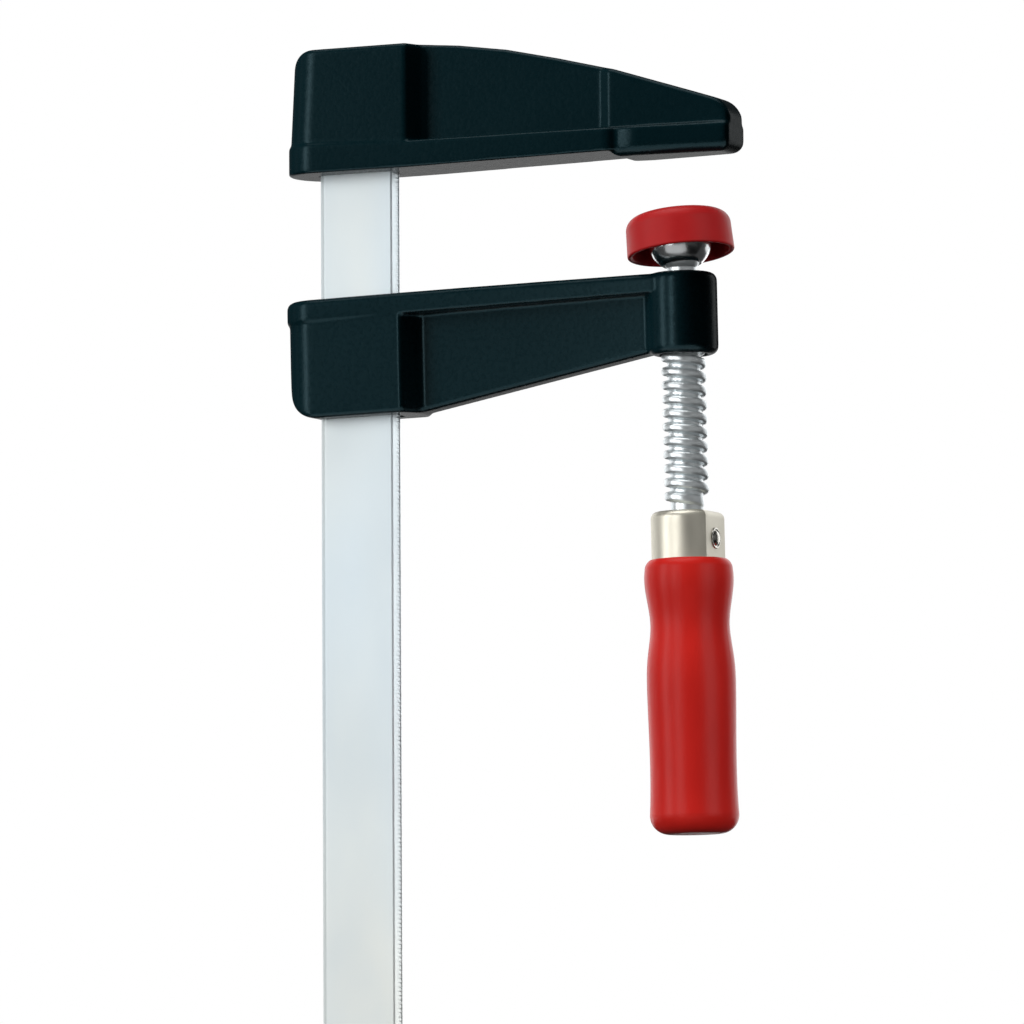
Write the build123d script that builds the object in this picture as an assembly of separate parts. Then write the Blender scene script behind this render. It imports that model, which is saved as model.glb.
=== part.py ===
from build123d import *
import os

# F clamp (light-duty bar clamp), millimetres, +Z up along the rail.
#
# The origin is the middle of the fixed jaw's clamping face. +X runs from the rail out to the
# jaw tips and the clamp is symmetric about Y = 0. The sliding jaw, and all that it carries,
# leans a little on the rail, as the play in its slot lets it. It is modelled square, in the
# jaw frame (origin on the spindle axis at the jaw's top face), and leaned as a last step.

# ---- rail: flat bar ----
RAIL_WIDTH = 20.0
RAIL_THICKNESS = 5.0
RAIL_EDGE = 0.5
RAIL_X = -87.5
RAIL_TOP = 25.2
RAIL_BOTTOM = -257.8
STOP_PIN_UP = 8.0
STOP_PIN_R = 2.0
STOP_PIN_LENGTH = 12.0
STOP_PIN_WALL = 0.8
STOP_PIN_SLIT = 0.6

# ---- fixed jaw: die casting on the rail's top end ----
FIXED_LEFT = RAIL_X - 18.5
FIXED_BLOCK_RIGHT = RAIL_X + 17.2
FIXED_HALF = 9.6
FIXED_NECK_X = -16.0
FIXED_NECK_HALF = 8.6
FIXED_NECK_BLEND = 3.5
FIXED_NECK_END_X = -13.4
FIXED_NECK_END_HALF = 6.6
FIXED_FOOT_RISE = 0.4
FIXED_FOOT_BEND_X = -72.0
FIXED_FOOT_BEND_R = 400.0
FIXED_NECK_RISE = 1.25
FIXED_FOOT_ROUND = 0.7
FIXED_TIP_START = -16.6
FIXED_TIP_START_HALF = 6.95
FIXED_TIP_WIDE_X = -9.5
FIXED_TIP_WIDE_HALF = 8.0
FIXED_TIP_BLEND = 12.0
FIXED_TIP_ROUND = 2.8
FIXED_END_X = 14.8
FIXED_END_HALF = 5.6
FIXED_END_CORNER = 1.5
FIXED_TOP = 31.55
BLOCK_STEP = 0.6
BLOCK_NOSE_STEP = 0.1
FIXED_STEP_RUN = 2.1
FIXED_WEB_HALF = 4.2
FIXED_TIP_WEB_X = -19.5
FIXED_TIP_WEB_HALF = 5.4
FIXED_END_WEB_HALF = 4.8
FIXED_TIP_WEB_RUN = 2.6
FIXED_TOP_CORNER = 8.0
FIXED_END_SLOPE = 0.054
FIXED_NOSE_ROUND = 6.6
FIXED_NOSE_HEIGHT = 11.9
NOSE_OVERRUN = 0.15

# ---- sliding jaw: die casting that slides on the rail and carries the spindle ----
JAW_TOP = -29.8
JAW_LEAN = 1.05
JAW_RAIL_X = -87.8
JAW_LEFT = JAW_RAIL_X - 18.9
JAW_BLOCK_RIGHT = JAW_RAIL_X + 15.2
JAW_HALF = 9.3
JAW_NECK_HALF = 7.7
JAW_HEIGHT = 29.15
JAW_FLANGE_RISE = 0.38
JAW_CROWN = 0.25
JAW_STEP_RUN = 3.4
JAW_WEB_HALF = 3.4
JAW_BOTTOM_CORNER = 8.5
JAW_WEB_BLEND = 1.6
JAW_BOSS_BLEND = 4.0
SLOT_WIDTH = 21.0
SLOT_THICKNESS = 5.7
BOSS_R = 8.6
BOSS_RISE = 0.85
BOSS_BOTTOM = -19.3
BOSS_TOP_ROUND = 2.0
BOSS_BOTTOM_ROUND = 2.0
BORE_R = 5.85

# ---- both jaws ----
EDGE_ROUND = 1.2
FLANGE_ROUND = 1.8
WEB_FILLET = 1.2
FLANGE_BACK_ROUND = 0.7

# ---- spindle: rolled thread, ball head, plain tang inside the handle ----
THREAD_R = 5.5
ROOT_R = 4.0
PITCH = 3.4
THREAD_TOP = -3.0
THREAD_BOTTOM = -57.0
CREST_SHARE = 0.30
RIDGE_SHARE = 0.78
RIDGE_SINK = 0.6
COLLAR_R = 3.9
COLLAR_TOP = -0.6
NECK_R = 3.6
BALL_R = 4.9
BALL_UP = 5.4
TANG_R = 4.0
TANG_BOTTOM = -116.0

# ---- ferrule, its cross pin and the handle ----
FERRULE_TOP = -57.7
FERRULE_BOTTOM = -69.4
FERRULE_R = 9.25
FERRULE_WALL = 1.2
FERRULE_FLAT = 7.3
FERRULE_TOP_ROUND = 1.8
PIN_Z = -64.5
PIN_R = 1.9
PIN_HEAD_R = 2.6
PIN_HEAD_RISE = 0.9
HANDLE_BOTTOM = -136.1
HANDLE_BOTTOM_R = 10.85
HANDLE_CORNER = 4.6
BEAD_R = 10.9
WAIST_R = 9.65
TANG_FIT = 0.05
CENTRE_MARK_R = 1.6

# ---- pressure pad: thrust seat, swaged socket, plate and push-on cap ----
PAD_TILT = 7.2
PAD_TILT_TO = 150.0
BALL_GAP = 0.08
SEAT_WALL = 0.8
SEAT_LOW = 1.8
MOUTH_R = 4.3
MOUTH_DROP = 2.53
SOCKET_R = 8.1
SOCKET_ARC_Z = 4.0
PLATE_R = 11.6
PLATE_LOW = 5.9
PLATE_HIGH = 8.05
CAP_R = 13.15
CAP_TOP_R = 12.75
CAP_RIM = 1.2
CAP_LOW = 0.1
CAP_HIGH = 9.9
CAP_EDGE = 3.2
CAP_LIP_R = 9.6
CAP_LIP = 0.6
CAP_RIM_ROUND = 0.45
CAP_GAP = 0.08
PLATE_EDGE = 0.5


def in_jaw_frame(shape):
    """Lean a piece of the sliding jaw assembly and bring it to its place on the rail."""
    return Location((0, 0, JAW_TOP), (0, -JAW_LEAN, 0)) * shape


def in_pad_frame(shape):
    """Tilt a piece of the pressure pad about the ball's centre, then place it in the jaw frame."""
    aim = Rotation(0, 0, PAD_TILT_TO)
    tilt = Rotation(0, PAD_TILT, 0)
    return in_jaw_frame(Location((0, 0, BALL_UP)) * aim * tilt * aim.inverse() * shape)


def soften(shape, edges, radius):
    """Round edges, falling back to a smaller radius where the full one does not fit."""
    for factor in (1.0, 0.75, 0.5, 0.3):
        try:
            rounded = shape.fillet(radius * factor, edges)
        except (ValueError, RuntimeError):
            continue
        if rounded.is_valid:
            return rounded
    print("an edge was left sharp")
    return shape


def revolved(points):
    """A solid of revolution about Z from (radius, z) points."""
    return revolve(Plane.XZ * make_face(Polyline(*points, close=True)), Axis.Z)


def slab(points, half_width):
    """A solid whose outline in the XZ plane is the polygon, centred on Y = 0."""
    outline = Plane.XZ * make_face(Polyline(*points, close=True))
    return extrude(outline, half_width, both=True)


def round_nosed(x_left, half, right_points):
    """A plan outline, symmetric about Y = 0, with a full round left end; the points are its +Y side."""
    x_nose = x_left + half
    upper = [(x_nose, half)] + right_points
    lower = [(x, -y) for x, y in reversed(upper)]
    nose = ThreePointArc(lower[-1], (x_left, 0), upper[0])
    return make_face(Curve() + [nose, Polyline(*upper, *lower)])


def corners_at(face, x, tolerance=0.01):
    return face.vertices().filter_by(lambda v: abs(v.X - x) < tolerance)


def horizontal_edges(shape, z_low, z_high):
    """Edges that lie within a height band and are not vertical."""
    def inside(edge):
        box = edge.bounding_box()
        return box.min.Z > z_low and box.max.Z < z_high
    return shape.edges().filter_by(inside)


# ---------------------------------------------------------------- rail and fixed jaw

def make_rail():
    section = Rectangle(RAIL_WIDTH, RAIL_THICKNESS)
    section = chamfer(section.vertices(), RAIL_EDGE)
    bar = Location((RAIL_X, 0, RAIL_BOTTOM)) * extrude(section, RAIL_TOP - RAIL_BOTTOM)
    pin_z = RAIL_BOTTOM + STOP_PIN_UP
    hole = Location((RAIL_X, 0, pin_z), (90, 0, 0)) * Cylinder(STOP_PIN_R, 2 * RAIL_THICKNESS)
    return bar - hole


def make_end_stop_pin():
    """The spring pin pressed through the rail's free end, which keeps the sliding jaw on."""
    pin = Cylinder(STOP_PIN_R, STOP_PIN_LENGTH) - Cylinder(STOP_PIN_R - STOP_PIN_WALL, STOP_PIN_LENGTH)
    slit = Location((STOP_PIN_R, 0, 0)) * Box(2 * STOP_PIN_R, STOP_PIN_SLIT, STOP_PIN_LENGTH)
    return Location((RAIL_X, 0, RAIL_BOTTOM + STOP_PIN_UP), (90, 0, 0)) * (pin - slit)


def fixed_flange():
    """The wide foot of the T section, as far as the tip. Its underside climbs from the block to the neck."""
    plan = round_nosed(FIXED_LEFT, FIXED_HALF, [
        (FIXED_NECK_X, FIXED_NECK_HALF),
        (FIXED_NECK_END_X, FIXED_NECK_END_HALF),
    ])
    plan = fillet(corners_at(plan, FIXED_NECK_X), FIXED_NECK_BLEND)
    under = make_face(Polyline(
        (FIXED_LEFT - 5, FIXED_FOOT_RISE),
        (FIXED_FOOT_BEND_X, FIXED_FOOT_RISE),
        (FIXED_NECK_X, FIXED_NECK_RISE),
        (FIXED_NECK_X + 5, FIXED_NECK_RISE),
        (FIXED_NECK_X + 5, -5),
        (FIXED_LEFT - 5, -5),
        close=True,
    ))
    bend = under.vertices().sort_by_distance((FIXED_FOOT_BEND_X, FIXED_FOOT_RISE, 0))[0]
    under = fillet([bend], FIXED_FOOT_BEND_R)
    body = extrude(plan, 10) - extrude(Plane.XZ * under, 20, both=True)
    body = body - flange_top()
    lower = horizontal_edges(body, FIXED_FOOT_RISE - 0.1, FIXED_NECK_RISE + 0.1)
    body = soften(body, lower, FIXED_FOOT_ROUND)
    upper = horizontal_edges(body, 5.0, 9.5)
    return soften(body, upper, FLANGE_BACK_ROUND)


def flange_top():
    """The slightly falling plane that ends the foot, as a cutting block."""
    return slab([
        (FIXED_LEFT - 5, 8.0),
        (RAIL_X, 7.5),
        (FIXED_BLOCK_RIGHT, 7.1),
        (FIXED_END_X + 5, 6.95),
        (FIXED_END_X + 5, 20),
        (FIXED_LEFT - 5, 20),
    ], 20)


def fixed_tip():
    """The narrower tip of the foot, with heavily rounded edges. Its underside is the clamping face."""
    plan = make_face(Polyline(
        (FIXED_TIP_START, FIXED_TIP_START_HALF),
        (FIXED_TIP_WIDE_X, FIXED_TIP_WIDE_HALF),
        (FIXED_END_X, FIXED_END_HALF),
        (FIXED_END_X, -FIXED_END_HALF),
        (FIXED_TIP_WIDE_X, -FIXED_TIP_WIDE_HALF),
        (FIXED_TIP_START, -FIXED_TIP_START_HALF),
        close=True,
    ))
    plan = fillet(corners_at(plan, FIXED_TIP_WIDE_X), FIXED_TIP_BLEND)
    plan = fillet(corners_at(plan, FIXED_END_X), FIXED_END_CORNER)
    body = extrude(plan, 10) - flange_top()
    lower = horizontal_edges(body, -0.1, 0.1)
    body = soften(body, lower, FIXED_TIP_ROUND)
    upper = horizontal_edges(body, 5.0, 9.5)
    return soften(body, upper, FLANGE_BACK_ROUND)


def fixed_body():
    """The block that grips the rail and the web that reaches out to the tip, above the foot."""
    plan = round_nosed(FIXED_LEFT + BLOCK_NOSE_STEP, FIXED_HALF - BLOCK_STEP, [
        (FIXED_BLOCK_RIGHT, FIXED_HALF - BLOCK_STEP),
        (FIXED_BLOCK_RIGHT + FIXED_STEP_RUN, FIXED_WEB_HALF),
        (FIXED_TIP_WEB_X, FIXED_WEB_HALF),
        (FIXED_TIP_WEB_X + FIXED_TIP_WEB_RUN, FIXED_TIP_WEB_HALF),
        (FIXED_END_X, FIXED_END_WEB_HALF),
    ])
    plan = fillet(corners_at(plan, FIXED_BLOCK_RIGHT), EDGE_ROUND)
    plan = fillet(corners_at(plan, FIXED_BLOCK_RIGHT + FIXED_STEP_RUN), WEB_FILLET)
    plan = fillet(corners_at(plan, FIXED_END_X), FIXED_END_CORNER)
    tall = extrude(plan, FIXED_TOP + 5)
    leaning = round_nosed(FIXED_LEFT + BLOCK_NOSE_STEP, FIXED_HALF - BLOCK_STEP, [
        (FIXED_END_X + 20, FIXED_HALF - BLOCK_STEP),
    ])
    tall = tall & extrude(leaning, FIXED_TOP + 5, dir=(FIXED_END_SLOPE, 0, 1))
    profile = make_face(Polyline(
        (FIXED_LEFT, 2),
        (FIXED_LEFT + FIXED_END_SLOPE * FIXED_TOP, FIXED_TOP),
        (FIXED_BLOCK_RIGHT + FIXED_STEP_RUN, FIXED_TOP),
        (RAIL_X + 29, 30.7),
        (RAIL_X + 42, 28.8),
        (RAIL_X + 56, 25.7),
        (RAIL_X + 71.5, 21.85),
        (RAIL_X + 92, 15.3),
        (FIXED_END_X + NOSE_OVERRUN, FIXED_NOSE_HEIGHT),
        (FIXED_END_X + NOSE_OVERRUN, 2),
        close=True,
    ))
    corner = profile.vertices().sort_by(Axis.X)[1]
    profile = fillet([corner], FIXED_TOP_CORNER)
    nose = profile.vertices().group_by(Axis.X)[-1].sort_by(Axis.Y)[-1]
    profile = fillet([nose], FIXED_NOSE_ROUND)
    body = tall & extrude(Plane.XZ * profile, 20, both=True)
    upper = horizontal_edges(body, 5.0, 99.0)
    return soften(body, upper, EDGE_ROUND)


def make_fixed_jaw():
    jaw = fixed_flange() + fixed_tip() + fixed_body()
    socket = chamfer(Rectangle(RAIL_WIDTH, RAIL_THICKNESS).vertices(), RAIL_EDGE)
    return jaw - Location((RAIL_X, 0, -5)) * extrude(socket, RAIL_TOP + 5)


# ---------------------------------------------------------------- sliding jaw

def jaw_flange():
    plan = round_nosed(JAW_LEFT, JAW_HALF, [(-2.0, JAW_NECK_HALF)])
    plan = plan + Circle(BOSS_R)
    reentrant = plan.vertices().filter_by(lambda v: -6 < v.X < -2.1 and abs(v.Y) > 5)
    if reentrant:
        plan = fillet(reentrant, JAW_BOSS_BLEND)
    tall = Location((0, 0, -10)) * extrude(plan, 20)
    side = Plane.XZ * make_face(Curve() + [
        ThreePointArc(
            (JAW_LEFT - 5, JAW_FLANGE_RISE),
            (JAW_LEFT / 2, JAW_FLANGE_RISE + JAW_CROWN),
            (15, JAW_FLANGE_RISE),
        ),
        Polyline(
            (15, JAW_FLANGE_RISE),
            (15, -4.1),
            (JAW_BLOCK_RIGHT, -4.8),
            (JAW_LEFT - 5, -5.5),
            (JAW_LEFT - 5, JAW_FLANGE_RISE),
        ),
    ])
    body = tall & extrude(side, 20, both=True)
    upper = horizontal_edges(body, JAW_FLANGE_RISE - 0.1, JAW_FLANGE_RISE + JAW_CROWN + 0.1)
    body = soften(body, upper, FLANGE_ROUND)
    lower = horizontal_edges(body, -7.0, -3.8)
    return soften(body, lower, FLANGE_BACK_ROUND)


def jaw_body():
    """The block round the rail and the tapering web out to the boss, under the flange."""
    plan = round_nosed(JAW_LEFT + BLOCK_STEP, JAW_HALF - BLOCK_STEP, [
        (JAW_BLOCK_RIGHT, JAW_HALF - BLOCK_STEP),
        (JAW_BLOCK_RIGHT + JAW_STEP_RUN, JAW_WEB_HALF),
        (0, JAW_WEB_HALF),
    ])
    plan = plan + Circle(BOSS_R - 0.05)
    reentrant = plan.vertices().filter_by(lambda v: -9 < v.X < -6 and abs(v.Y) < 5)
    plan = fillet(reentrant, JAW_WEB_BLEND)
    plan = fillet(corners_at(plan, JAW_BLOCK_RIGHT), EDGE_ROUND)
    plan = fillet(corners_at(plan, JAW_BLOCK_RIGHT + JAW_STEP_RUN), WEB_FILLET)
    tall = Location((0, 0, -JAW_HEIGHT - 5)) * extrude(plan, JAW_HEIGHT + 4)
    profile = make_face(Polyline(
        (JAW_LEFT, -1),
        (JAW_LEFT + 2.4, -JAW_HEIGHT),
        (JAW_BLOCK_RIGHT + 2, -JAW_HEIGHT),
        (0, -17.15),
        (0, -1),
        close=True,
    ))
    corner = profile.vertices().sort_by(Axis.X)[1]
    profile = fillet([corner], JAW_BOTTOM_CORNER)
    body = tall & extrude(Plane.XZ * profile, 20, both=True)
    lower = horizontal_edges(body, -99.0, -7.0)
    return soften(body, lower, EDGE_ROUND)


def jaw_boss():
    height = BOSS_RISE - BOSS_BOTTOM
    boss = Location((0, 0, BOSS_BOTTOM)) * extrude(Circle(BOSS_R), height)
    boss = boss.fillet(BOSS_TOP_ROUND, boss.edges().group_by(Axis.Z)[-1])
    return boss.fillet(BOSS_BOTTOM_ROUND, boss.edges().group_by(Axis.Z)[0])


def make_sliding_jaw():
    jaw = jaw_flange() + jaw_body() + jaw_boss()
    slot = Location((JAW_RAIL_X, 0, -15)) * Box(SLOT_WIDTH, SLOT_THICKNESS, 50)
    bore = Cylinder(BORE_R, 60)
    return in_jaw_frame(jaw - slot - bore)


# ---------------------------------------------------------------- spindle and handle

def thread_ridge():
    """One rolled, round-crested ridge, swept along the helix."""
    height = THREAD_TOP - THREAD_BOTTOM - PITCH
    path = Helix(PITCH, height, ROOT_R, center=(0, 0, THREAD_BOTTOM + PITCH / 2))
    depth = THREAD_R - ROOT_R
    foot = RIDGE_SHARE * PITCH / 2
    crest = CREST_SHARE * PITCH / 2
    profile = make_face(Curve() + [
        Line((-RIDGE_SINK, -foot), (-RIDGE_SINK, foot)),
        Line((-RIDGE_SINK, foot), (0, foot)),
        Line((0, foot), (depth - crest, crest)),
        ThreePointArc((depth - crest, crest), (depth, 0), (depth - crest, -crest)),
        Line((depth - crest, -crest), (0, -foot)),
        Line((0, -foot), (-RIDGE_SINK, -foot)),
    ])
    start = path @ 0
    section = Plane(origin=start, x_dir=(1, 0, 0), z_dir=(path % 0)) * profile
    return sweep(section, path=path, is_frenet=True)


def make_spindle():
    core = revolved([
        (0, BALL_UP),
        (NECK_R, BALL_UP),
        (NECK_R, COLLAR_TOP + 0.3),
        (COLLAR_R, COLLAR_TOP),
        (COLLAR_R, THREAD_TOP + 0.1),
        (ROOT_R, THREAD_TOP),
        (ROOT_R, THREAD_BOTTOM),
        (TANG_R, THREAD_BOTTOM - 0.3),
        (TANG_R, TANG_BOTTOM + 1),
        (TANG_R - 1, TANG_BOTTOM),
        (0, TANG_BOTTOM),
    ])
    ball = Location((0, 0, BALL_UP)) * Sphere(BALL_R)
    neck_cut = Location((0, 0, BALL_UP + 10)) * Box(20, 20, 20)
    shaft = (core - neck_cut) + ball + thread_ridge()
    hole = Location((0, 0, PIN_Z), (0, 90, 0)) * Cylinder(PIN_R, 40)
    return in_jaw_frame(shaft - hole)


def ferrule_flats(distance, z_low, z_high):
    """Two blocks that cut flats across X at a distance from the axis."""
    height = z_high - z_low
    block = Box(20, 40, height)
    z_mid = (z_low + z_high) / 2
    return [Location((side * (distance + 10), 0, z_mid)) * block for side in (-1, 1)]


def make_ferrule():
    outer = Location((0, 0, FERRULE_BOTTOM)) * extrude(Circle(FERRULE_R), FERRULE_TOP - FERRULE_BOTTOM)
    for block in ferrule_flats(FERRULE_FLAT, FERRULE_BOTTOM - 1, FERRULE_TOP + 1):
        outer = outer - block
    outer = soften(outer, outer.edges().group_by(Axis.Z)[-1], FERRULE_TOP_ROUND)
    inner = Location((0, 0, FERRULE_BOTTOM)) * extrude(
        Circle(FERRULE_R - FERRULE_WALL), FERRULE_TOP - FERRULE_BOTTOM - FERRULE_WALL
    )
    for block in ferrule_flats(FERRULE_FLAT - FERRULE_WALL, FERRULE_BOTTOM - 1, FERRULE_TOP + 1):
        inner = inner - block
    hole = Location((0, 0, FERRULE_TOP)) * Cylinder(TANG_R, 8)
    cross = Location((0, 0, PIN_Z), (0, 90, 0)) * Cylinder(PIN_R, 40)
    return in_jaw_frame(outer - inner - hole - cross)


def make_ferrule_pin():
    """The pin through ferrule, handle and spindle, riveted to a low dome at both ends."""
    shank = Cylinder(PIN_R, 2 * FERRULE_FLAT)
    dome_r = (PIN_HEAD_R ** 2 + PIN_HEAD_RISE ** 2) / (2 * PIN_HEAD_RISE)
    dome = Location((0, 0, FERRULE_FLAT + PIN_HEAD_RISE - dome_r)) * Sphere(dome_r)
    above = Location((0, 0, FERRULE_FLAT + 5)) * Box(20, 20, 10)
    head = dome & above
    pin = shank + head + Rotation(180, 0, 0) * head
    return in_jaw_frame(Location((0, 0, PIN_Z), (0, 90, 0)) * pin)


def make_handle():
    """The turned wooden handle: bead, waist and barrel, with a tenon that fills the ferrule."""
    top = FERRULE_BOTTOM
    corner_z = HANDLE_BOTTOM + HANDLE_CORNER
    corner_r = HANDLE_BOTTOM_R - HANDLE_CORNER
    diagonal = HANDLE_CORNER * 0.7071
    flank = Spline(
        (10.75, top - 2.4),
        (BEAD_R, top - 4.4),
        (WAIST_R, top - 15.6),
        (10.55, top - 24.0),
        (10.82, top - 33.0),
        (HANDLE_BOTTOM_R, corner_z),
    )
    outline = make_face(Curve() + [
        Line((0, top), (9.4, top)),
        ThreePointArc((9.4, top), (10.3, top - 0.9), (10.75, top - 2.4)),
        flank,
        ThreePointArc(
            (HANDLE_BOTTOM_R, corner_z),
            (corner_r + diagonal, corner_z - diagonal),
            (corner_r, HANDLE_BOTTOM),
        ),
        Line((corner_r, HANDLE_BOTTOM), (0, HANDLE_BOTTOM)),
        Line((0, HANDLE_BOTTOM), (0, top)),
    ])
    barrel = revolve(Plane.XZ * outline, Axis.Z)
    tenon_top = FERRULE_TOP - FERRULE_WALL
    tenon = Location((0, 0, top)) * extrude(Circle(FERRULE_R - FERRULE_WALL), tenon_top - top)
    for block in ferrule_flats(FERRULE_FLAT - FERRULE_WALL, top, FERRULE_TOP):
        tenon = tenon - block
    handle = barrel + tenon
    bore_height = FERRULE_TOP - TANG_BOTTOM + 1
    bore = Location((0, 0, TANG_BOTTOM - 1)) * extrude(Circle(TANG_R + TANG_FIT), bore_height)
    mark = Location((0, 0, HANDLE_BOTTOM)) * Cone(CENTRE_MARK_R, 0.1, 2 * CENTRE_MARK_R)
    cross = Location((0, 0, PIN_Z), (0, 90, 0)) * Cylinder(PIN_R, 40)
    return in_jaw_frame(handle - bore - mark - cross)


# ---------------------------------------------------------------- pressure pad

def make_ball_seat():
    """The thrust cup over the ball. It stays in line with the spindle while the plate rocks on it."""
    inner_r = BALL_R + BALL_GAP
    outer_r = inner_r + SEAT_WALL
    cup = Sphere(outer_r) - Sphere(inner_r)
    cup = cup - Location((0, 0, SEAT_LOW - 10)) * Box(40, 40, 20)
    return in_jaw_frame(Location((0, 0, BALL_UP)) * cup)


def seat_space():
    return Sphere(BALL_R + 2 * BALL_GAP + SEAT_WALL)


def make_ball_socket():
    """The swaged steel socket whose rolled-in mouth holds the ball to the plate."""
    outer = Location((0, 0, SOCKET_ARC_Z)) * Sphere(SOCKET_R)
    keep = Location((0, 0, (PLATE_LOW - MOUTH_DROP) / 2)) * Box(40, 40, PLATE_LOW + MOUTH_DROP)
    dome = outer & keep
    wall = extrude(Location((0, 0, SOCKET_ARC_Z)) * Circle(SOCKET_R), PLATE_LOW - SOCKET_ARC_Z)
    dome = dome + wall
    ball_space = Sphere(BALL_R + BALL_GAP)
    upper = extrude(Circle(BALL_R + 2 * BALL_GAP + SEAT_WALL), PLATE_LOW + 1)
    mouth = Location((0, 0, -5)) * Cylinder(MOUTH_R, 12)
    return in_pad_frame(dome - ball_space - upper - mouth)


def make_pressure_plate():
    plate = Location((0, 0, PLATE_LOW)) * extrude(Circle(PLATE_R), PLATE_HIGH - PLATE_LOW)
    plate = plate.fillet(PLATE_EDGE, plate.edges().filter_by(GeomType.CIRCLE))
    return in_pad_frame(plate - seat_space())


def make_pad_cap():
    """The push-on cap: a shallow cup with a lip that snaps under the plate's rim."""
    inner_r = PLATE_R + CAP_GAP
    outer = revolved([(0, CAP_LOW), (CAP_R, CAP_LOW), (CAP_TOP_R, CAP_HIGH), (0, CAP_HIGH)])
    outer = outer.fillet(CAP_EDGE, outer.edges().group_by(Axis.Z)[-1])
    pocket_low = PLATE_LOW - CAP_GAP
    pocket_high = PLATE_HIGH + CAP_GAP
    pocket = Location((0, 0, pocket_low)) * extrude(Circle(inner_r), pocket_high - pocket_low)
    lip = Location((0, 0, pocket_low - CAP_LIP)) * extrude(Circle(CAP_LIP_R), CAP_LIP + 0.1)
    skirt = revolved([
        (0, CAP_LOW - 1),
        (CAP_R - CAP_RIM, CAP_LOW - 1),
        (CAP_R - CAP_RIM, CAP_LOW),
        (inner_r, pocket_low - CAP_LIP),
        (0, pocket_low - CAP_LIP),
    ])
    cap = outer - pocket - lip - skirt
    cap = soften(cap, cap.edges().group_by(Axis.Z)[0], CAP_RIM_ROUND)
    return in_pad_frame(cap)


pieces = {
    "rail": make_rail(),
    "end_stop_pin": make_end_stop_pin(),
    "fixed_jaw": make_fixed_jaw(),
    "sliding_jaw": make_sliding_jaw(),
    "spindle": make_spindle(),
    "ferrule": make_ferrule(),
    "ferrule_pin": make_ferrule_pin(),
    "handle": make_handle(),
    "ball_seat": make_ball_seat(),
    "ball_socket": make_ball_socket(),
    "pressure_plate": make_pressure_plate(),
    "pad_cap": make_pad_cap(),
}

os.makedirs("parts", exist_ok=True)
for name, shape in pieces.items():
    export_step(shape, f"parts/{name}.step")
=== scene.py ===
import math

import bpy
from mathutils import Matrix, Vector


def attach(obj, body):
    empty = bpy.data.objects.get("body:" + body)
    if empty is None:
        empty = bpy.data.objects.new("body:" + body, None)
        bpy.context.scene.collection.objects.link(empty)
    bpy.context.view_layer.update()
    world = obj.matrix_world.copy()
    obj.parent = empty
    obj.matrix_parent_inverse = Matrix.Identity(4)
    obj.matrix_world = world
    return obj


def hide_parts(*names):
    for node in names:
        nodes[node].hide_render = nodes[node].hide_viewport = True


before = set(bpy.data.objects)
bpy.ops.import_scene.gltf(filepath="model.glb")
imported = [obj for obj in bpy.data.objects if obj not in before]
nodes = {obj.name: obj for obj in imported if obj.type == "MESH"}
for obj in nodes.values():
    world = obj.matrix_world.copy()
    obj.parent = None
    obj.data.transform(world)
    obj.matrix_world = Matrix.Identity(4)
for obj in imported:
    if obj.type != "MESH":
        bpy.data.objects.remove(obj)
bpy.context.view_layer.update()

scene = bpy.context.scene
MM = 0.001

# ------------------------------------------------------------------ camera
AZIMUTH = math.radians(25.0)
ELEVATION = math.radians(-4.844)
ROLL = math.radians(-0.304)
TARGET = Vector((-0.046016, 0.0, -0.085588))
DISTANCE = 1.8
SENSOR_MM, LENS_MM = 36.0, 257.2


def bearing(azimuth, elevation):
    """The unit vector at an azimuth, 0 in front and positive to the right, and an elevation, in radians."""
    flat = math.cos(elevation)
    return Vector((math.sin(azimuth) * flat, -math.cos(azimuth) * flat, math.sin(elevation)))


def make_camera():
    """The camera of the photograph: long lens, a little below the jaws, from the clamp's open side."""
    data = bpy.data.cameras.new("camera")
    data.sensor_width = SENSOR_MM
    data.lens = LENS_MM
    data.clip_start, data.clip_end = 0.05, 50.0
    cam = bpy.data.objects.new("camera", data)
    scene.collection.objects.link(cam)
    back = bearing(AZIMUTH, ELEVATION)
    right = (-back).cross(Vector((0, 0, 1))).normalized()
    up = right.cross(-back)
    rolled_right = math.cos(ROLL) * right + math.sin(ROLL) * up
    rolled_up = -math.sin(ROLL) * right + math.cos(ROLL) * up
    turn = Matrix((rolled_right, rolled_up, back)).transposed().to_4x4()
    cam.matrix_world = Matrix.Translation(TARGET + back * DISTANCE) @ turn
    scene.camera = cam


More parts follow.
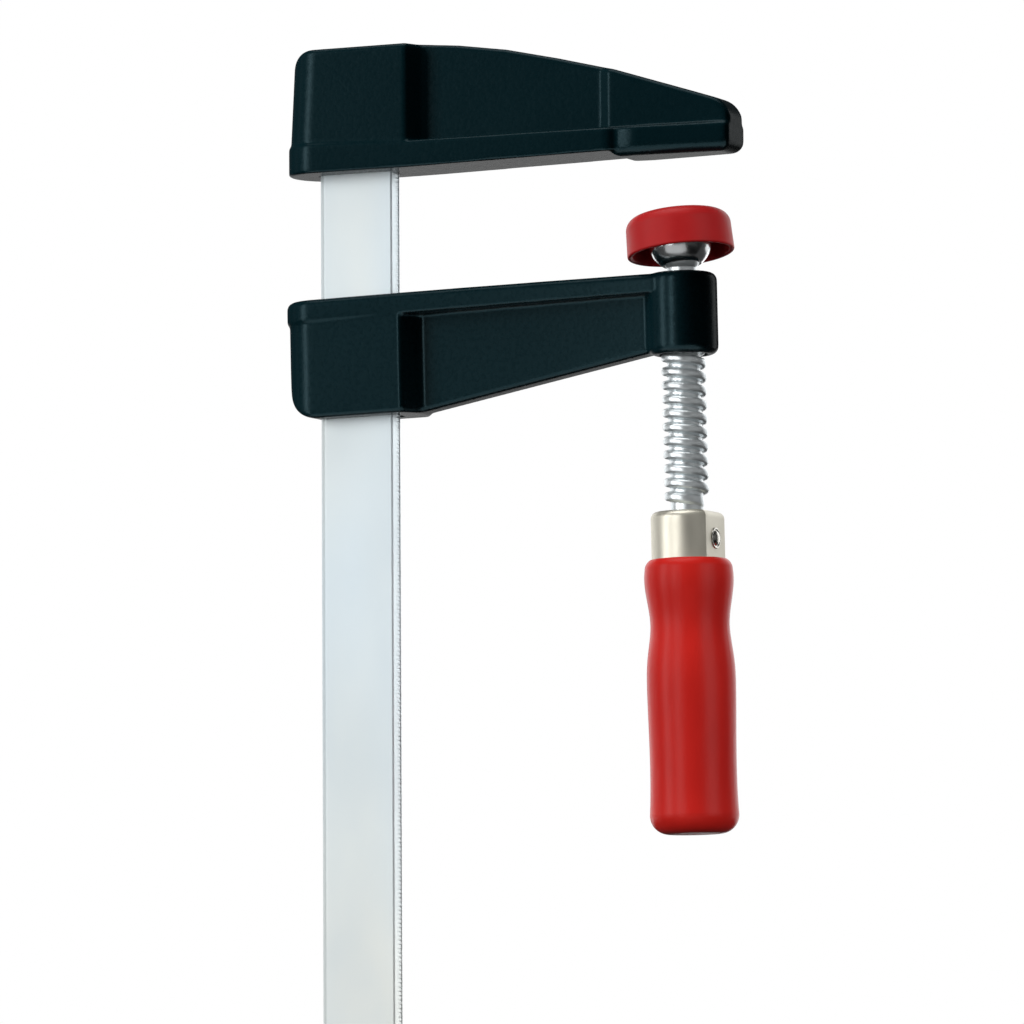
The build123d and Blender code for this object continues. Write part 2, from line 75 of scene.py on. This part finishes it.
# ------------------------------------------------------------------ node tree helpers
class Tree:
    """A short way to build a material of one Principled shader, placed by object coordinates in metres."""

    def __init__(self, name):
        self.material = bpy.data.materials.new(name)
        self.material.use_nodes = True
        self.nodes = self.material.node_tree.nodes
        self.links = self.material.node_tree.links
        self.nodes.clear()
        out = self.nodes.new("ShaderNodeOutputMaterial")
        self.shader = self.nodes.new("ShaderNodeBsdfPrincipled")
        self.links.new(self.shader.outputs[0], out.inputs["Surface"])
        self.place = self.nodes.new("ShaderNodeTexCoord").outputs["Object"]

    def put(self, socket, value):
        """Link another node's socket, or set a plain value; a colour of three gets its alpha."""
        if isinstance(value, bpy.types.NodeSocket):
            self.links.new(value, socket)
        elif socket.type == "RGBA":
            socket.default_value = (*value, 1.0)
        else:
            socket.default_value = value

    def node(self, kind, **inputs):
        made = self.nodes.new(kind)
        for key, value in inputs.items():
            self.put(made.inputs[key.replace("_", " ")], value)
        return made

    def stretched(self, factors):
        """Object coordinates scaled along each axis; a factor under 1 draws a pattern out."""
        return self.node("ShaderNodeMapping", Vector=self.place, Scale=factors).outputs[0]

    def noise(self, scale, detail=3.0, roughness=0.5, place=None):
        made = self.node("ShaderNodeTexNoise", Vector=place or self.place, Scale=scale, Detail=detail,
                         Roughness=roughness)
        return made.outputs["Fac"]

    def span(self, value, low, high, to_low=0.0, to_high=1.0):
        """Map low to high, clamped, onto to_low to to_high."""
        made = self.nodes.new("ShaderNodeMapRange")
        for i, v in enumerate((value, low, high, to_low, to_high)):
            self.put(made.inputs[i], v)
        return made.outputs[0]

    def mix(self, factor, a, b):
        """Blend two colours."""
        made = self.nodes.new("ShaderNodeMix")
        made.data_type = "RGBA"
        self.put(made.inputs["Factor"], factor)
        self.put(made.inputs[6], a)
        self.put(made.inputs[7], b)
        return made.outputs[2]

    def bump(self, height, strength, distance, under=None):
        """A bump in the shader's normal, laid over an earlier one where that is given."""
        made = self.node("ShaderNodeBump", Strength=strength, Distance=distance, Height=height)
        if under is not None:
            self.put(made.inputs["Normal"], under)
        return made.outputs[0]

    def set(self, **inputs):
        for key, value in inputs.items():
            self.put(self.shader.inputs[key.replace("_", " ")], value)


def linear(r, g, b):
    """Scene-linear colour from display values of 0 to 255."""
    def one(v):
        v = v / 255.0
        return v / 12.92 if v <= 0.04045 else ((v + 0.055) / 1.055) ** 2.4
    return (one(r), one(g), one(b))


# ------------------------------------------------------------------ mesh helpers
def grid_object(name, rows, material, sharp):
    """A tube from rows of points in mm, each row a closed ring, capped at both ends."""
    count = len(rows[0])
    verts = [tuple(c * MM for c in p) for row in rows for p in row]
    faces = []
    for i in range(len(rows) - 1):
        for j in range(count):
            k = (j + 1) % count
            faces.append((i * count + j, i * count + k, (i + 1) * count + k, (i + 1) * count + j))
    faces.append(tuple(reversed(range(count))))
    faces.append(tuple((len(rows) - 1) * count + j for j in range(count)))
    mesh = bpy.data.meshes.new(name)
    mesh.from_pydata(verts, [], faces)
    mesh.polygons.foreach_set("use_smooth", [True] * len(mesh.polygons))
    mesh.set_sharp_from_angle(angle=math.radians(sharp))
    mesh.materials.append(material)
    made = bpy.data.objects.new(name, mesh)
    scene.collection.objects.link(made)
    return made


def in_place_of(made, node, body):
    """Show a new piece instead of a CAD node, on that node's body."""
    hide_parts(node)
    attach(made, body)


# ------------------------------------------------------------------ rail
RAIL_X, RAIL_HALF_WIDTH, RAIL_HALF_THICK = -87.5, 10.0, 2.5
RAIL_LOW, RAIL_HIGH = -257.8, 25.2
RAIL_CORNER = 0.45
# the outer edge's bevel, each point as (in from the edge, in from the face)
BEVEL = [(0.0, 0.96), (0.12, 0.76), (0.9, 0.24), (1.15, 0.11), (1.4, 0.03), (1.7, 0.0), (2.1, 0.0)]
TOOTH_PITCH, TOOTH_DEPTH, TOOTH_ROUNDNESS = 1.05, 0.2, 0.8
ROWS_PER_TOOTH = 6
STRIP_NEAR, STRIP_FAR = 0.35, 1.85
PLAIN_TOP, PLAIN_BOTTOM = 2.5, 1.5


def rail_ring(z):
    """One section of the bar: bevelled outer edge, rolled corners, and a notched strip on the inner edge."""
    notch = TOOTH_DEPTH * max(0.0, math.sin(math.pi * ((z / TOOTH_PITCH) % 1.0))) ** TOOTH_ROUNDNESS
    serrated = RAIL_LOW + PLAIN_BOTTOM <= z <= RAIL_HIGH - PLAIN_TOP
    strip = RAIL_HALF_WIDTH - (notch if serrated else 0.0)
    w, t, r = RAIL_HALF_WIDTH, RAIL_HALF_THICK, RAIL_CORNER
    corner = [(r * math.sin(a), r * math.cos(a)) for a in (math.radians(22.5 * k) for k in range(5))]
    ring = [(-w + inward, -t + depth) for inward, depth in BEVEL]
    ring += [(w - r - 0.4, -t), (w - r - 0.05, -t)]
    ring += [(w - r + across, -t + r - up) for across, up in corner]
    ring += [(w, -t + 0.8), (w, STRIP_NEAR - 0.15)]
    ring += [(strip, STRIP_NEAR), (strip, STRIP_FAR), (w, STRIP_FAR + 0.1)]
    ring += [(w - r + up, t - r + across) for across, up in corner]
    ring += [(w - r - 0.4, t)]
    ring += [(-w + inward, t - depth) for inward, depth in reversed(BEVEL)]
    return [(RAIL_X + x, y, z) for x, y in ring]


def make_rail(material):
    length = RAIL_HIGH - RAIL_LOW
    count = int(length / (TOOTH_PITCH / ROWS_PER_TOOTH))
    rows = [rail_ring(RAIL_LOW + length * i / count) for i in range(count + 1)]
    rail = grid_object("rail_bar", rows, material, sharp=40.0)
    in_place_of(rail, "rail", "frame")
    return rail


# ------------------------------------------------------------------ spindle
# The spindle and what is fixed to it lean with the jaw frame: its origin is on the spindle's axis at
# the top face of the sliding jaw.
JAW_TOP, LEAN = -29.8, -1.05
JAW_FRAME = Matrix.Translation((0, 0, JAW_TOP * MM)) @ Matrix.Rotation(math.radians(LEAN), 4, "Y")
PITCH, THREAD_TOP, THREAD_BOTTOM = 3.4, -3.0, -57.0
ROOT_R, CREST_R = 4.0, 5.5
RIDGE_HALF_WIDTH, CREST_POWER, FOOT_WIDTH = 1.34, 2.4, 0.35
BALL_R, BALL_Z, BALL_FOOT = 4.9, 5.4, 2.076
NECK_R, SHOULDER_R = 3.6, 3.9
NECK_END, SHOULDER_START = -0.3, -0.6
TANG_END = -115.0
ROWS_APART, SIDES, BALL_ROWS, BALL_SPAN = 0.17, 72, 40, 8.3


def core_radius(z):
    """Radius without the thread: ball, neck, shoulder, root of the thread, and the tang's chamfer."""
    if z > BALL_FOOT:
        return math.sqrt(max(0.0004, BALL_R ** 2 - (z - BALL_Z) ** 2))
    if z > NECK_END:
        return NECK_R
    if z > SHOULDER_START:
        return NECK_R + (SHOULDER_R - NECK_R) * (NECK_END - z) / (NECK_END - SHOULDER_START)
    if z > THREAD_TOP:
        return SHOULDER_R
    if z > TANG_END:
        return ROOT_R
    return max(0.02, ROOT_R - (TANG_END - z))


def fade_in(turns):
    """0 before the thread's end and 1 from half a turn on."""
    return min(1.0, max(0.0, (turns + 0.1) / 0.5))


def ridge(z, theta):
    """Height of the rolled thread above its root: round crests with soft feet, and faded ends."""
    turn = (z - THREAD_BOTTOM - PITCH / 2) / PITCH - theta / (2 * math.pi)
    off = abs(turn - round(turn)) * PITCH
    along = round(turn) + theta / (2 * math.pi)
    last = (THREAD_TOP - THREAD_BOTTOM - PITCH) / PITCH
    fade = fade_in(along) * fade_in(last - along)
    if off > RIDGE_HALF_WIDTH or fade <= 0:
        return 0.0
    crest = math.sqrt(1.0 - (off / RIDGE_HALF_WIDTH) ** CREST_POWER)
    foot = min(1.0, (RIDGE_HALF_WIDTH - off) / FOOT_WIDTH)
    return (CREST_R - ROOT_R) * crest * foot * foot * (3 - 2 * foot) * fade


def make_spindle(material):
    ball_top = BALL_Z + BALL_R - 0.02
    stops = [ball_top - BALL_SPAN * i / BALL_ROWS for i in range(BALL_ROWS + 1)]
    stops += [2.0, 1.0, NECK_END, SHOULDER_START, -1.8, -2.9]
    length = THREAD_TOP - THREAD_BOTTOM
    steps = int(length / ROWS_APART)
    stops += [THREAD_TOP - 0.01 - length * i / steps for i in range(steps + 1)]
    stops += [-80.0, -100.0, TANG_END, TANG_END - 1.0]
    rows = []
    for z in sorted(set(stops), reverse=True):
        row = []
        for j in range(SIDES):
            theta = 2 * math.pi * j / SIDES
            r = core_radius(z)
            if THREAD_BOTTOM < z < THREAD_TOP:
                r += ridge(z, theta)
            row.append((r * math.cos(-theta), r * math.sin(-theta), z))
        rows.append(row)
    spindle = grid_object("spindle_screw", rows, material, sharp=50.0)
    spindle.matrix_world = JAW_FRAME
    in_place_of(spindle, "spindle", "screw")
    return spindle


# ------------------------------------------------------------------ cross pin
PIN_Z, FERRULE_FLAT, PIN_SIDES = -64.5, 7.3, 40
# one head as (radius, height over the ferrule's flat): the rolled ring, the groove in it, and the dome
PIN_HEAD = [
    (1.85, -0.3), (2.55, -0.02), (2.6, 0.10), (2.5, 0.24), (2.3, 0.27), (2.12, 0.16), (2.0, 0.02),
    (1.86, 0.04), (1.75, 0.28), (1.5, 0.52), (1.15, 0.71), (0.75, 0.83), (0.35, 0.88), (0.02, 0.89),
]


def make_pin(material):
    """The pin through the ferrule: at both ends a domed head inside a rolled ring."""
    profile = [(radius, -FERRULE_FLAT - rise) for radius, rise in reversed(PIN_HEAD)]
    profile += [(radius, FERRULE_FLAT + rise) for radius, rise in PIN_HEAD]
    turns = [2 * math.pi * k / PIN_SIDES for k in range(PIN_SIDES)]
    rows = [[(x, radius * math.cos(a), PIN_Z + radius * math.sin(a)) for a in turns] for radius, x in profile]
    pin = grid_object("ferrule_rivet", rows, material, sharp=60.0)
    pin.matrix_world = JAW_FRAME
    in_place_of(pin, "ferrule_pin", "screw")
    return pin


# ------------------------------------------------------------------ materials
def black_casting():
    t = Tree("black_casting")
    fine = t.noise(2300, 3.0, 0.6)
    grain = t.noise(900, 3.0, 0.55)
    cloud = t.noise(60, 3.0, 0.5)
    skin = t.bump(fine, 0.12, 0.00010)
    skin = t.bump(grain, 0.14, 0.00025, under=skin)
    skin = t.bump(cloud, 0.05, 0.0006, under=skin)
    colour = t.mix(t.span(cloud, 0.35, 0.7), (0.0011, 0.0104, 0.0138), (0.0016, 0.0118, 0.0154))
    t.set(Base_Color=colour, Roughness=t.span(grain, 0.25, 0.75, 0.25, 0.31), Normal=skin, IOR=1.18,
          Specular_Tint=(0.50, 0.88, 1.0))
    return t.material


def zinc_rail():
    t = Tree("zinc_rail")
    drawn = t.noise(900, 4.0, 0.6, place=t.stretched((1, 1, 0.02)))
    cloud = t.noise(38, 3.0, 0.55, place=t.stretched((1, 1, 0.5)))
    tint = t.noise(22, 2.0, 0.5, place=t.stretched((1, 1, 0.3)))
    colour = t.mix(t.span(tint, 0.35, 0.68), linear(206, 217, 222), linear(216, 219, 214))
    colour = t.mix(t.span(cloud, 0.3, 0.75, 0.0, 0.35), colour, linear(192, 208, 219))
    skin = t.bump(drawn, 0.10, 0.0001)
    t.set(Base_Color=colour, Metallic=0.45, Roughness=t.span(cloud, 0.3, 0.7, 0.42, 0.5),
          Normal=skin, IOR=1.5)
    return t.material


def plain_steel(name, colour, low, high, scale=420, metallic=1.0):
    t = Tree(name)
    cloud = t.noise(scale, 3.0, 0.55)
    t.set(Base_Color=colour, Metallic=metallic, Roughness=t.span(cloud, 0.3, 0.7, low, high),
          Normal=t.bump(cloud, 0.03, 0.0001))
    return t.material


def red_plastic():
    t = Tree("red_plastic")
    cloud = t.noise(170, 3.0, 0.5)
    colour = t.mix(t.span(cloud, 0.3, 0.7), (0.43, 0.012, 0.013), (0.49, 0.014, 0.015))
    t.set(Base_Color=colour, Roughness=t.span(cloud, 0.3, 0.7, 0.42, 0.52),
          Normal=t.bump(t.noise(1800, 2.0, 0.5), 0.05, 0.0001), IOR=1.25)
    return t.material


def red_lacquer():
    t = Tree("red_lacquer")
    cloud = t.noise(90, 3.0, 0.5, place=t.stretched((1, 1, 0.4)))
    speck = t.noise(700, 2.0, 0.5)
    colour = t.mix(t.span(cloud, 0.3, 0.7), (0.58, 0.016, 0.012), (0.69, 0.022, 0.016))
    streak = t.noise(260, 3.0, 0.55, place=t.stretched((1, 1, 0.35)))
    skin = t.bump(cloud, 0.16, 0.0012)
    skin = t.bump(streak, 0.20, 0.0003, under=skin)
    skin = t.bump(speck, 0.08, 0.0001, under=skin)
    t.set(Base_Color=colour, Roughness=0.32, Normal=skin, IOR=1.22)
    return t.material


# ------------------------------------------------------------------ surroundings
FAINT = 0.05
AIM = Vector((-0.045, 0, -0.1))
FLOOR_HALF, FLOOR_Z = 2.2, -0.37
FLAG_AWAY, FLAG_LEFT, FLAG_RIGHT, FLAG_LOW, FLAG_HIGH = 0.9, 34, 112, -42, 50


def make_world():
    """White to the camera, and a faint even light on everything else."""
    world = bpy.data.worlds.new("studio")
    scene.world = world
    world.use_nodes = True
    tree = world.node_tree
    tree.nodes.clear()
    out = tree.nodes.new("ShaderNodeOutputWorld")
    shown = tree.nodes.new("ShaderNodeBackground")
    shown.inputs["Color"].default_value = (1, 1, 1, 1)
    lit = tree.nodes.new("ShaderNodeBackground")
    lit.inputs["Color"].default_value = (1, 1, 1, 1)
    lit.inputs["Strength"].default_value = FAINT
    seen = tree.nodes.new("ShaderNodeLightPath")
    choice = tree.nodes.new("ShaderNodeMixShader")
    tree.links.new(seen.outputs["Is Camera Ray"], choice.inputs[0])
    tree.links.new(lit.outputs[0], choice.inputs[1])
    tree.links.new(shown.outputs[0], choice.inputs[2])
    tree.links.new(choice.outputs[0], out.inputs["Surface"])


def area_light(name, azimuth, elevation, distance, width, height, power, hidden_from=()):
    """A soft light at a bearing from AIM, in degrees; it may be hidden from diffuse or glossy rays."""
    out = bearing(math.radians(azimuth), math.radians(elevation))
    data = bpy.data.lights.new(name, "AREA")
    data.shape = "RECTANGLE"
    data.size, data.size_y = width, height
    data.energy = power
    lamp = bpy.data.objects.new(name, data)
    lamp.location = AIM + out * distance
    lamp.rotation_mode = "QUATERNION"
    lamp.rotation_quaternion = (-out).to_track_quat("-Z", "Y")
    lamp.visible_diffuse = "diffuse" not in hidden_from
    lamp.visible_glossy = "glossy" not in hidden_from
    scene.collection.objects.link(lamp)
    return lamp


def light_only(name, receivers, lamps):
    """Let the lamps light these objects and nothing else."""
    group = bpy.data.collections.new(name)
    for obj in receivers:
        group.objects.link(obj)
    for lamp in lamps:
        lamp.light_linking.receiver_collection = group


def staged_card(name, corners, colour, roughness, ior):
    """A flat card of one face that belongs to the scene and not to the clamp."""
    mesh = bpy.data.meshes.new(name)
    mesh.from_pydata(corners, [], [(0, 1, 2, 3)])
    card = bpy.data.objects.new(name, mesh)
    scene.collection.objects.link(card)
    t = Tree(name + "_surface")
    t.set(Base_Color=colour, Roughness=roughness, IOR=ior)
    mesh.materials.append(t.material)
    card.visible_diffuse = False
    return card


def make_floor():
    """A plain pale floor with its own light. It adds no light and no reflection to the clamp."""
    corners = [(x * FLOOR_HALF, y * FLOOR_HALF, FLOOR_Z) for x, y in ((-1, -1), (1, -1), (1, 1), (-1, 1))]
    floor = staged_card("floor", corners, (0.86, 0.86, 0.86), 0.8, 1.5)
    floor.visible_glossy = False
    light_only("lit_as_floor", [floor], [area_light("floor_wash", 0, 88, 3.0, 6.0, 6.0, 230)])


def make_flag():
    """A black card to the right of the camera. Only reflections see it: the right-hand faces mirror it."""
    corners = []
    for azimuth, elevation in ((FLAG_LEFT, FLAG_LOW), (FLAG_RIGHT, FLAG_LOW), (FLAG_RIGHT, FLAG_HIGH),
                               (FLAG_LEFT, FLAG_HIGH)):
        level = bearing(math.radians(azimuth), 0.0)
        rise = Vector((0, 0, math.tan(math.radians(elevation))))
        corners.append(AIM + (level + rise) * FLAG_AWAY)
    flag = staged_card("flag", corners, (0.004, 0.004, 0.004), 0.9, 1.1)
    flag.visible_camera = False
    flag.visible_shadow = False


def light_the_rest():
    """Lights for the metal, plastic and wood pieces."""
    return [
        area_light("key_left", -46, 8, 1.6, 0.50, 1.5, 11),
        area_light("side_left", -95, 5, 1.8, 0.8, 1.5, 5),
        area_light("front_box", -12, 4, 1.7, 0.62, 1.5, 11),
        area_light("fill_right", 74, 8, 1.7, 1.0, 1.5, 13),
        area_light("end_right", 148, 8, 1.8, 0.7, 1.5, 3.5),
        area_light("back_right", 182, 12, 1.8, 1.4, 1.6, 12),
        area_light("back_left", 235, 10, 1.8, 1.0, 1.6, 8),
        area_light("low_sheen", 10, -35, 0.45, 0.7, 0.3, 0.3, hidden_from=["diffuse"]),
    ]


def light_the_jaws():
    """Lights for the black paint: two give it an even tone, and the others only its highlights."""
    return [
        area_light("jaw_key", -52, 10, 1.6, 0.5, 1.5, 28, hidden_from=["glossy"]),
        area_light("jaw_back", 192, 14, 1.8, 1.6, 1.6, 9, hidden_from=["glossy"]),
        area_light("jaw_strip", -44, 7, 1.6, 0.26, 1.5, 16, hidden_from=["diffuse"]),
        area_light("jaw_panel", -80, 7, 1.6, 0.40, 1.5, 0.6, hidden_from=["diffuse"]),
        area_light("table_glow", 15, -58, 0.30, 0.8, 0.5, 5, hidden_from=["diffuse"]),
        area_light("back_low", 205, -7, 1.5, 1.5, 0.5, 1.3, hidden_from=["diffuse"]),
        area_light("jaw_end", 150, 8, 1.8, 0.7, 1.5, 3, hidden_from=["diffuse"]),
    ]


# ------------------------------------------------------------------ build
def dress(node, material):
    """Give a CAD node one material in all its slots."""
    if not node.material_slots:
        node.data.materials.append(material)
    for slot in node.material_slots:
        slot.material = material


def soften_casting(node):
    """Round the CAD mesh's sharp edges as casting and paint do."""
    coat = node.modifiers.new("cast_skin", "REMESH")
    coat.mode = "VOXEL"
    coat.voxel_size = 0.36 * MM
    coat.use_smooth_shade = True
    ease = node.modifiers.new("cast_softness", "SMOOTH")
    ease.factor = 0.5
    ease.iterations = 9


casting = black_casting()
zinc = zinc_rail()
thread_steel = plain_steel("thread_steel", linear(224, 230, 232), 0.32, 0.44, metallic=0.85)
ferrule_steel = plain_steel("ferrule_steel", linear(208, 204, 190), 0.38, 0.46, metallic=0.85, scale=160)
rivet_steel = plain_steel("rivet_steel", linear(214, 212, 204), 0.20, 0.28)
dark_steel = plain_steel("dark_steel", linear(150, 150, 150), 0.3, 0.45)
looks = {
    "rail": zinc,
    "fixed_jaw": casting,
    "sliding_jaw": casting,
    "spindle": thread_steel,
    "ferrule": ferrule_steel,
    "ferrule_pin": ferrule_steel,
    "handle": red_lacquer(),
    "ball_seat": dark_steel,
    "ball_socket": plain_steel("polished_steel", linear(228, 230, 232), 0.17, 0.24),
    "pressure_plate": dark_steel,
    "pad_cap": red_plastic(),
    "end_stop_pin": dark_steel,
}
for name, material in looks.items():
    dress(nodes[name], material)

rail = make_rail(zinc)
pin = make_pin(rivet_steel)
spindle = make_spindle(thread_steel)
jaws = [nodes["fixed_jaw"], nodes["sliding_jaw"]]
for jaw in jaws:
    soften_casting(jaw)

make_camera()
make_world()
make_floor()
make_flag()
area_light("top_soft", -30, 78, 1.3, 1.0, 1.0, 11)
replaced = ("rail", "spindle", "ferrule_pin")
others = [node for name, node in nodes.items() if node not in jaws and name not in replaced]
light_only("lit_as_metal_and_red", others + [rail, pin, spindle], light_the_rest())
light_only("lit_as_rail_edge", [rail], [area_light("rail_end", 150, 8, 1.8, 0.7, 1.5, 9)])
light_only("lit_as_black_paint", jaws, light_the_jaws())
light_only("lit_as_boss", [nodes["sliding_jaw"]],
           [area_light("boss_strip", -9, 7, 0.59, 0.05, 0.6, 2.4, hidden_from=["diffuse"])])

scene.view_settings.view_transform = "Standard"
scene.view_settings.look = "None"
